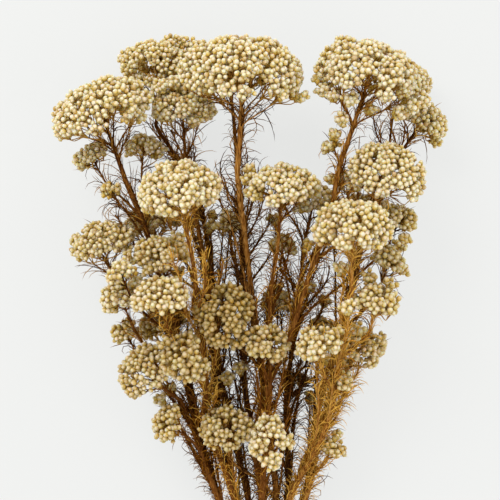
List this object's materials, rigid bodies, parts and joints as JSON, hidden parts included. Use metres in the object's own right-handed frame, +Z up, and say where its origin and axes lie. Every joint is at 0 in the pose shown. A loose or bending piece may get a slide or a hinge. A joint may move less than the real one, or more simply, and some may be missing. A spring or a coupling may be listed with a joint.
{
  "type": "bunch of dried rice flower",
  "caption": "Bunch of dried rice flower lying on its side: leafy woody stems held by a rubber band fan out to domed heads of small round cream buds.",
  "frame": {"origin": "on the table, under the middle of the bunch's outer box", "axes": "+Z up off the table, +Y along the bunch from the cut ends to the tips, +X across it to the right as the camera looks down"},
  "size_m": [0.2206, 0.432, 0.1132],
  "materials": {
    "cream_buds": "papery matte, cream over olive brown",
    "golden_stem": "dry matte bark and needle leaves, golden brown",
    "dark_stem": "dry matte bark and needle leaves, dark brown",
    "rubber_band": "satin natural latex"
  },
  "bodies": {
    "root": {"back_mid_head_1": "cream_buds", "back_mid_head_2": "cream_buds", "back_mid_head_3": "cream_buds", "back_mid_stem": "dark_stem", "back_right_head_1": "cream_buds", "back_right_head_2": "cream_buds", "back_right_head_3": "cream_buds", "back_right_head_4": "cream_buds", "back_right_stem": "dark_stem", "bunch_band": "rubber_band", "centre_tall_head_1": "cream_buds", "centre_tall_head_2": "cream_buds", "centre_tall_head_3": "cream_buds", "centre_tall_stem": "golden_stem", "left_back_head_1": "cream_buds", "left_back_head_2": "cream_buds", "left_back_head_3": "cream_buds", "left_back_head_4": "cream_buds", "left_back_stem": "dark_stem", "left_far_head_1": "cream_buds", "left_far_head_2": "cream_buds", "left_far_head_3": "cream_buds", "left_far_head_4": "cream_buds", "left_far_stem": "dark_stem", "left_front_head_1": "cream_buds", "left_front_head_2": "cream_buds", "left_front_head_3": "cream_buds", "left_front_stem": "golden_stem", "left_mid_head_1": "cream_buds", "left_mid_head_2": "cream_buds", "left_mid_head_3": "cream_buds", "left_mid_stem": "dark_stem", "left_outer_head_1": "cream_buds", "left_outer_head_2": "cream_buds", "left_outer_head_3": "cream_buds", "left_outer_head_4": "cream_buds", "left_outer_stem": "golden_stem", "mid_front_head_1": "cream_buds", "mid_front_head_2": "cream_buds", "mid_front_head_3": "cream_buds", "mid_front_stem": "golden_stem", "right_back_head_1": "cream_buds", "right_back_head_2": "cream_buds", "right_back_head_3": "cream_buds", "right_back_head_4": "cream_buds", "right_back_stem": "dark_stem", "right_front_head_1": "cream_buds", "right_front_head_2": "cream_buds", "right_front_head_3": "cream_buds", "right_front_stem": "golden_stem", "right_outer_head_1": "cream_buds", "right_outer_head_2": "cream_buds", "right_outer_stem": "golden_stem", "right_tall_head_1": "cream_buds", "right_tall_head_2": "cream_buds", "right_tall_head_3": "cream_buds", "right_tall_head_4": "cream_buds", "right_tall_stem": "golden_stem"}
  },
  "joints": []
}
